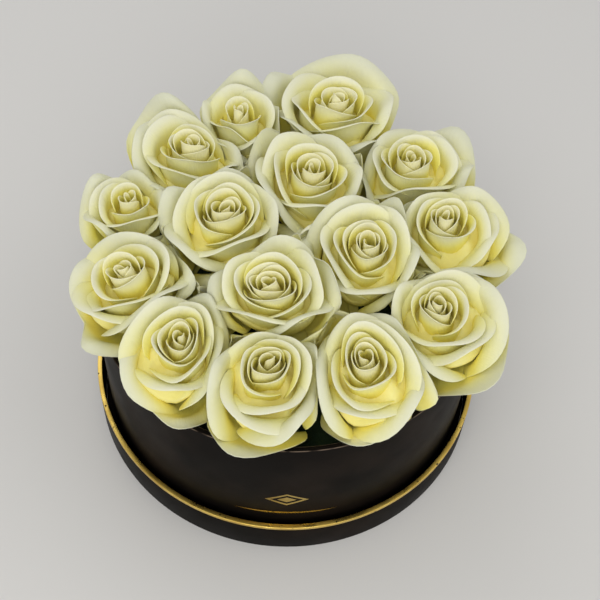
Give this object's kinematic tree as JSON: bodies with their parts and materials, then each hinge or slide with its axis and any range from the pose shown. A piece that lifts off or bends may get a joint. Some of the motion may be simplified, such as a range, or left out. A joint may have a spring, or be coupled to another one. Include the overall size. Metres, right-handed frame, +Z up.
{
  "type": "rose box",
  "caption": "Round black card box of cream roses standing in wet foam, set in its upturned lid with a gold edge.",
  "frame": {"origin": "centre of the underside of the upturned lid, on the surface that it stands on", "axes": "+Z up, -Y towards the front, +X to the right of a viewer at the front"},
  "size_m": [0.2137, 0.2203, 0.1372],
  "materials": {
    "black_card": "matt black paper wrap with a soft sheen",
    "gold_foil": "slightly worn gold foil edge",
    "liner_film": "thin clear waterproof cup",
    "wet_foam": "dark green soaked floral foam",
    "petal": "soft cream rose petal, yellower in its depths",
    "rose_green": "fresh green stem, hip and sepals"
  },
  "bodies": {
    "root": {"lid_panel": "black_card", "lid_wall": "black_card", "lid_gold_edge": "gold_foil", "box_base": "black_card", "box_wall": "black_card", "liner": "liner_film", "foam": "wet_foam", "rose_01_bloom": "petal", "rose_02_bloom": "petal", "rose_03_bloom": "petal", "rose_04_bloom": "petal", "rose_05_bloom": "petal", "rose_06_bloom": "petal", "rose_07_bloom": "petal", "rose_08_bloom": "petal", "rose_09_bloom": "petal", "rose_10_bloom": "petal", "rose_11_bloom": "petal", "rose_12_bloom": "petal", "rose_13_bloom": "petal", "rose_14_bloom": "petal", "rose_15_bloom": "petal", "rose_01_stem": "rose_green", "rose_02_stem": "rose_green", "rose_03_stem": "rose_green", "rose_04_stem": "rose_green", "rose_05_stem": "rose_green", "rose_06_stem": "rose_green", "rose_07_stem": "rose_green", "rose_08_stem": "rose_green", "rose_09_stem": "rose_green", "rose_10_stem": "rose_green", "rose_11_stem": "rose_green", "rose_12_stem": "rose_green", "rose_13_stem": "rose_green", "rose_14_stem": "rose_green", "rose_15_stem": "rose_green"}
  },
  "joints": []
}
